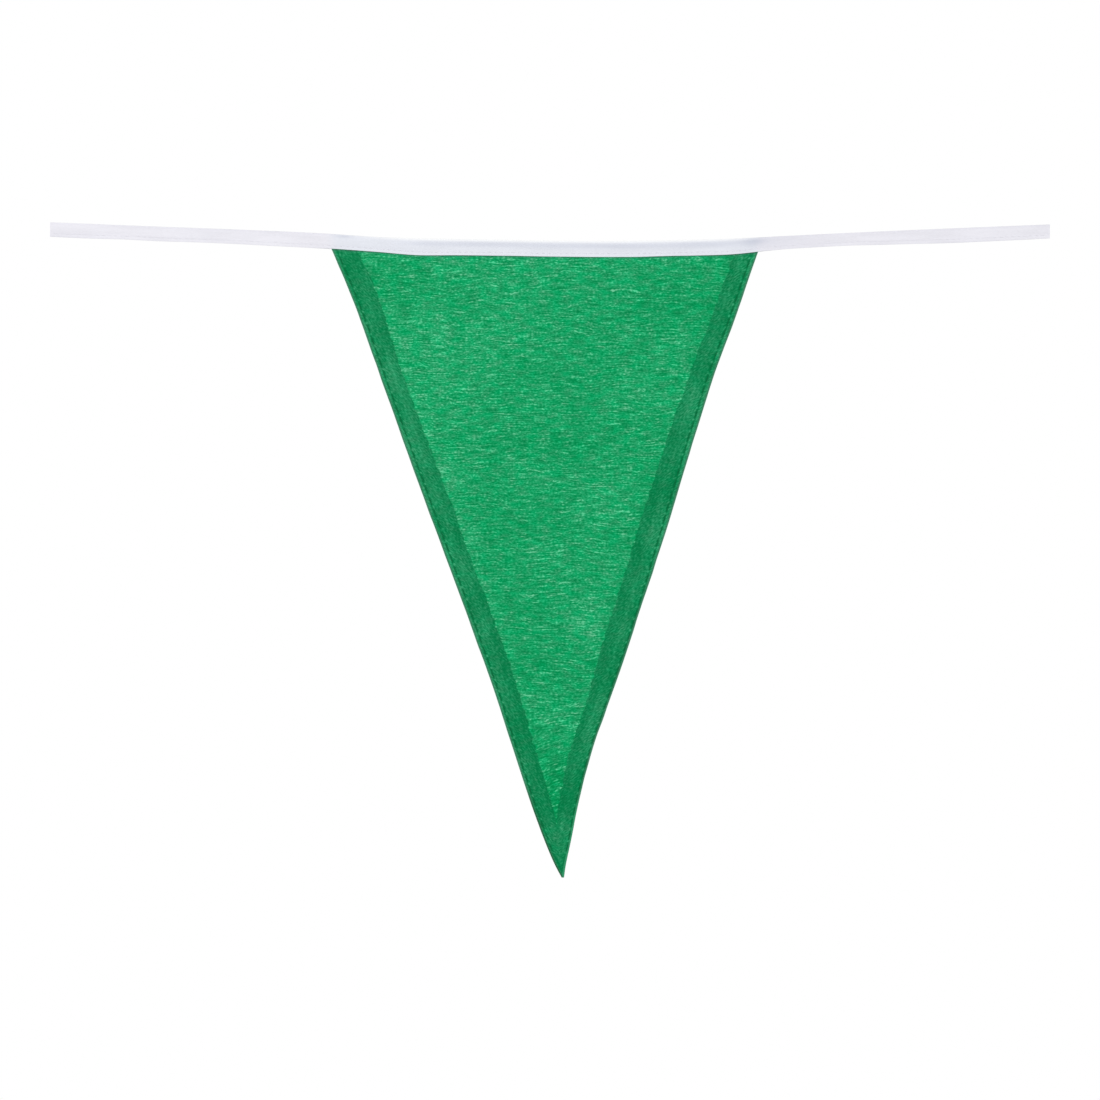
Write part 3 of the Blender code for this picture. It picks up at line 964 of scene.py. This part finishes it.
class ClothTexture(Texture):
    """Green plain weave with pale slubs along its yarns, and darker doubled bands along its edges."""

    def __init__(self):
        super().__init__("pennant_cloth")
        self.x, _, self.z = self.parts(self.place())
        self.flat = self.joined(self.x, 0.0, self.z)
        self.across = self.read("across")
        self.from_edge = self.read("from_edge")
        self.from_inner_line = self.read("from_line")
        self.from_seam = self.read("from_seam")
        self.light = self.read("light")
        self.near_tip = self.fade(self.z, *NARROW_END)
        on_left = self.fade(self.across, 0.5, 0.4)
        self.by_left_band = self.times(self.fade(self.from_inner_line, 11 * MM, 0.0), on_left)
        self.yarn_height = self.wandering_height()
        self.yarns = self.joined(self.x, 0.0, self.yarn_height)
        self.fine = self.noise(self.yarns, (1.25, 0, 0.60), 1.0)
        self.greyness = self.noise(self.flat, (5.5, 0, 3.0), 1.0)
        self.flecks = self.all_slubs()

    def wandering_height(self):
        """The heights that tell the yarns apart: they wander a little, and slant towards the tip."""
        slow = self.swing(self.noise(self.flat, SLOW_GRAIN, 1.0), SLOW_WANDER)
        quick = self.swing(self.noise(self.flat, QUICK_GRAIN, 1.0), QUICK_WANDER)
        slant = self.fade(self.z, SLANT_FROM, SLANT_TO, 0.0, SLANT)
        rise = self.times(slant, self.math("SUBTRACT", self.x, TIP[0]))
        return self.plus(self.math("SUBTRACT", self.z, rise), self.plus(slow, quick))

    def all_slubs(self):
        """The pale slubs of every kind, in uneven patches, denser by the left band and near the tip."""
        patches = self.noise(self.flat, (15, 0, 6), 2.0, 0.6)
        patches = self.times_plus(self.by_left_band, 0.06, patches)
        patches = self.times_plus(self.near_tip, 0.14, patches)
        long_slubs = slubs(self, self.yarns, patches, LONG_SLUBS)
        short_slubs = slubs(self, self.yarns, patches, SHORT_SLUBS)
        tip_slubs = slubs(self, self.yarns, patches, TIP_SLUBS)
        flecks = self.math("MAXIMUM", long_slubs, self.times(short_slubs, 0.8))
        return self.math("MAXIMUM", flecks, self.times(tip_slubs, self.near_tip))

    def greens(self, tone, greyish_share, rows):
        """The greens of a tone: the clear one, with this share of the greyish one."""
        clear, greyish = self.shades(tone, rows, "clear"), self.shades(tone, rows, "greyish")
        return self.mix(greyish_share, clear, greyish)

    def single_cloth(self):
        """The colour between the bands: uneven yarns, their slubs and soft clouds."""
        streaks = self.noise(self.yarns, (8.0, 0, 0.62), 1.0)
        clouds = self.noise(self.flat, (38, 0, 26))
        tone = self.varied(0.415, (self.fine, 1.9), (streaks, 1.8), (clouds, 0.35))
        tone = self.times_plus(self.flecks, self.times_plus(self.near_tip, 0.42, 0.38), tone)
        tone = self.times_plus(self.by_left_band, 0.04, tone)
        tone = self.times_plus(self.near_tip, -0.26, tone)
        tone = self.plus(tone, self.light)
        greyish_share = self.varied(0.45, (self.greyness, 2.8))
        return self.greens(tone, greyish_share, CLOTH_GREENS)

    def hatch(self):
        """The yarns of the bands' turned layer, which slant across the band."""
        turned = self.nodes.new("ShaderNodeVectorRotate")
        turned.rotation_type = "Y_AXIS"
        self.set(turned.inputs["Vector"], self.flat)
        angle = self.fade(self.across, 0.49, 0.51, math.radians(-40), math.radians(36))
        self.set(turned.inputs["Angle"], angle)
        return self.noise(turned.outputs["Vector"], (1.5, 0, 0.54), 0.0, 0.5)

    def band_relief_shading(self):
        """How light the bands are across their width: painted highlights on the lip and on an uneven ridge
        inside the stitching, painted shade in its groove.
        """
        ragged = self.swing(self.noise(self.flat, (10, 0, 8)), 3.0 * MM)
        shift = self.times(ragged, self.fade(self.from_seam, 3 * MM, 6 * MM))
        inwards = self.plus(self.from_seam, shift)
        place = self.fade(inwards, BAND_PROFILE_FROM, BAND_PROFILE_TO, course="LINEAR")
        return self.ramp(place, [(row.place, (*[row.level] * 3, 1.0)) for row in BAND_PROFILE])

    def pucker_highlights(self):
        """Small painted highlights where the cloth puckers at the holes of the edge stitching."""
        along = self.times(self.read("seam_run"), math.pi / (EDGE_STITCH.pitch * MM))
        at_holes = self.math("POWER", self.math("ABSOLUTE", self.math("SINE", along)), 14.0)
        off_line = self.math("ABSOLUTE", self.math("SUBTRACT", self.from_seam, 0.4 * MM))
        return self.times(at_holes, self.fade(off_line, 0.7 * MM, 0.2 * MM))

    def band_cloth(self, from_line):
        """The colour of the doubled bands, with a line of painted shade along their inner side, where the
        band's cut edge stands.
        """
        blotches = self.noise(self.flat, (9, 0, 18), 1.0)
        # Painted shade along the band's inner edge.
        inner_shadow_line = self.times(self.fade(from_line, -1.1 * MM, -0.3 * MM), 0.06)
        tone = self.math("SUBTRACT", self.band_relief_shading(), inner_shadow_line)
        tone = self.varied(tone, (self.hatch(), 1.5), (self.fine, 0.6), (blotches, 0.9))
        # Painted highlights where the cloth puckers at the stitch holes.
        tone = self.times_plus(self.pucker_highlights(), 0.7, tone)
        tone = self.plus(tone, self.light)
        tone = self.times_plus(self.fade(self.across, 0.45, 0.55), -0.05, tone)
        greyish_share = self.varied(0.45, (self.greyness, 1.8))
        return self.greens(tone, greyish_share, BAND_GREENS)

    def rims(self, colour):
        """The colour, with painted shade along the outer edges, a painted lighter green at the very rim,
        tints along the tip's edges and a painted shadow right under the tape.
        """
        at_tip = self.fade(self.z, *TIP_EDGES)
        sides = {"left": self.fade(self.across, 0.55, 0.45), "right": self.fade(self.across, 0.45, 0.55)}
        # Painted shade and painted light along the rims, as RIMS lists them.
        for row in RIMS:
            share = self.fade(self.from_edge, row.begins * MM, row.full * MM, 0.0, row.strength)
            if row.side:
                share = self.times(at_tip, self.times(sides[row.side], share))
            colour = self.mix(share, colour, shown_as(*row.shade))
        # Painted shadow on the cloth right under the tape's lower edge.
        under_tape_shadow = self.fade(self.read("below_tape"), 1.3 * MM, 0.0, 0.0, 0.6)
        return self.mix(under_tape_shadow, colour, shown_as(62, 126, 102))


def cloth_material():
    """The pennant's cloth: its pattern, with slubs and a plain weave in relief."""
    cloth = ClothTexture()
    uneven_line = cloth.swing(cloth.noise(cloth.flat, (3.6, 0, 3.0)), 2.8 * MM)
    from_line = cloth.plus(cloth.from_inner_line, uneven_line)
    in_band = cloth.fade(from_line, 0.3 * MM, -0.3 * MM)
    colour = cloth.mix(in_band, cloth.single_cloth(), cloth.band_cloth(from_line))
    weave = woven(cloth, cloth.x, cloth.yarn_height, YARN_PITCH)
    height = cloth.times_plus(cloth.flecks, 0.7, cloth.times_plus(weave, 0.5, cloth.fine))
    return cloth.finish(
        cloth.rims(colour),
        cloth.times_plus(cloth.fine, 0.14, 0.78),
        height,
        0.10 * MM,
        Sheen_Weight=0.01,
        Sheen_Roughness=0.5,
        Specular_IOR_Level=0.02,
    )


def tape_material():
    """White woven tape: fine yarns, a cooler white over the cloth, painted shade in its creases and along
    its edges, and a painted highlight on its crest.
    """
    t = Texture("tape_weave")
    x, _, _ = t.parts(t.place())
    below = t.read("below_top")
    lengthwise = t.joined(x, 0.0, below)
    fine = t.noise(lengthwise, (1.4, 0, 0.35), 2.0, 0.6)
    clouds = t.noise(lengthwise, (24, 0, 3.0))
    bare = t.shades(t.times_plus(fine, 0.45, t.times(clouds, 0.55)), TAPE_WHITES, "white")
    backed = t.mix(1.0, bare, shown_as(248, 252, 253), "MULTIPLY")
    colour = t.mix(t.read("over_cloth"), bare, backed)
    # Painted shade in the tape's crease, where it puckers at the corners, and along the free tape's edges.
    colour = t.mix(t.read("shade"), colour, shown_as(176, 181, 200))
    # Painted highlight on the crest of the fold, where it stands full over the pennant.
    colour = t.mix(t.times(t.read("crest"), 0.9), colour, shown_as(253, 254, 254))
    weave = woven(t, x, below, TAPE_YARN_PITCH)
    return t.finish(
        colour,
        t.times_plus(fine, 0.16, 0.68),
        t.times_plus(weave, 0.6, fine),
        0.06 * MM,
        Sheen_Weight=0.03,
        Sheen_Roughness=0.5,
        Specular_IOR_Level=0.1,
    )


def thread_material(name, dark, light):
    """Twisted sewing thread, with its plies as slanting bands."""
    t = Texture(name)
    x, _, z = t.parts(t.place())
    slant = t.times(t.plus(x, z), 2 * math.pi / PLY_LENGTH)
    plies = t.times_plus(t.math("SINE", slant), 0.5, 0.5)
    fuzz = t.noise(t.joined(x, 0.0, z), (0.25, 0, 0.25))
    colour = t.mix(t.times_plus(fuzz, 0.5, t.times(plies, 0.5)), dark, light)
    roughness = t.times_plus(fuzz, 0.2, 0.5)
    return t.finish(colour, roughness, plies, 0.05 * MM, Sheen_Weight=0.02, Specular_IOR_Level=0.08)


def floor_material():
    """Matt pale studio floor with a faint grain, which fades into the white backdrop towards its rim."""
    t = Texture("studio_floor")
    grain = t.noise(t.place(), (18, 18, 18), 3.0)
    x, y, _ = t.parts(t.place())
    from_middle = t.math("SQRT", t.times_plus(x, x, t.times(y, y)))
    t.set(t.shader.inputs["Alpha"], t.fade(from_middle, *FLOOR_FADE, 1.0, 0.0))
    colour = t.mix(grain, shown_as(236, 236, 238), shown_as(243, 243, 244))
    return t.finish(colour, t.times_plus(grain, 0.1, 0.8), grain, 0.05 * MM)


def add_floor():
    """A pale floor below and out of the main picture."""
    near, far = FLOOR_FORWARD - FLOOR_HALF, FLOOR_FORWARD + FLOOR_HALF
    corners = [(-FLOOR_HALF, near), (FLOOR_HALF, near), (FLOOR_HALF, far), (-FLOOR_HALF, far)]
    points = [(x, y, FLOOR_LEVEL) for x, y in corners]
    mesh_object("studio_floor", points, [(0, 1, 2, 3)], floor_material())


def add_light(row):
    """A square soft light aimed at the middle of the pennant."""
    data = bpy.data.lights.new(row.name, "AREA")
    data.shape = "SQUARE"
    data.size = row.size
    data.energy = row.power
    light = bpy.data.objects.new(row.name, data)
    light.location = row.place
    aim = Vector((0.0, 0.0, PICTURE_CENTRE_Z)) - light.location
    light.rotation_euler = aim.to_track_quat("-Z", "Y").to_euler()
    light.visible_camera = False
    bpy.context.scene.collection.objects.link(light)


def add_surroundings():
    """A white studio: pure white where the camera looks past the bunting, softer light all round."""
    world = bpy.data.worlds.new("white_studio")
    bpy.context.scene.world = world
    world.use_nodes = True
    nodes, links = world.node_tree.nodes, world.node_tree.links
    nodes.clear()
    backdrop, ambient = nodes.new("ShaderNodeBackground"), nodes.new("ShaderNodeBackground")
    for background, strength in ((backdrop, 1.0), (ambient, AMBIENT_LIGHT)):
        background.inputs["Color"].default_value = (1.0, 1.0, 1.0, 1.0)
        background.inputs["Strength"].default_value = strength
    path = nodes.new("ShaderNodeLightPath")
    mix = nodes.new("ShaderNodeMixShader")
    output = nodes.new("ShaderNodeOutputWorld")
    links.new(path.outputs["Is Camera Ray"], mix.inputs["Fac"])
    links.new(ambient.outputs["Background"], mix.inputs[1])
    links.new(backdrop.outputs["Background"], mix.inputs[2])
    links.new(mix.outputs["Shader"], output.inputs["Surface"])


def add_camera():
    """A long lens, square to the bunting."""
    data = bpy.data.cameras.new("camera")
    data.sensor_width = SENSOR
    data.lens = SENSOR * CAMERA_DISTANCE / PICTURE_SIDE
    camera = bpy.data.objects.new("camera", data)
    camera.location = (0.0, -CAMERA_DISTANCE, PICTURE_CENTRE_Z)
    camera.rotation_euler = (math.pi / 2, 0.0, 0.0)
    bpy.context.scene.collection.objects.link(camera)
    bpy.context.scene.camera = camera


pennant = closed_sheet("pennant_cloth", *pennant_grids(), cloth_material())
tape = closed_sheet("folded_tape", *tape_grids(), tape_material())
edge_thread = thread_material("green_thread", shown_as(0, 106, 58), shown_as(8, 128, 76))
edge_stitching = stitches("edge_stitching", edge_seam_lines(), EDGE_STITCH, edge_thread)
tape_thread = thread_material("white_thread", shown_as(232, 231, 239), shown_as(244, 243, 249))
tape_stitching = stitches("tape_stitching", tape_seam_lines(), TAPE_STITCH, tape_thread)

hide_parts("pennant")
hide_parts("tape")

add_floor()
add_surroundings()
for light_row in LIGHTS:
    add_light(light_row)
add_camera()
bpy.context.scene.view_settings.view_transform = "Standard"
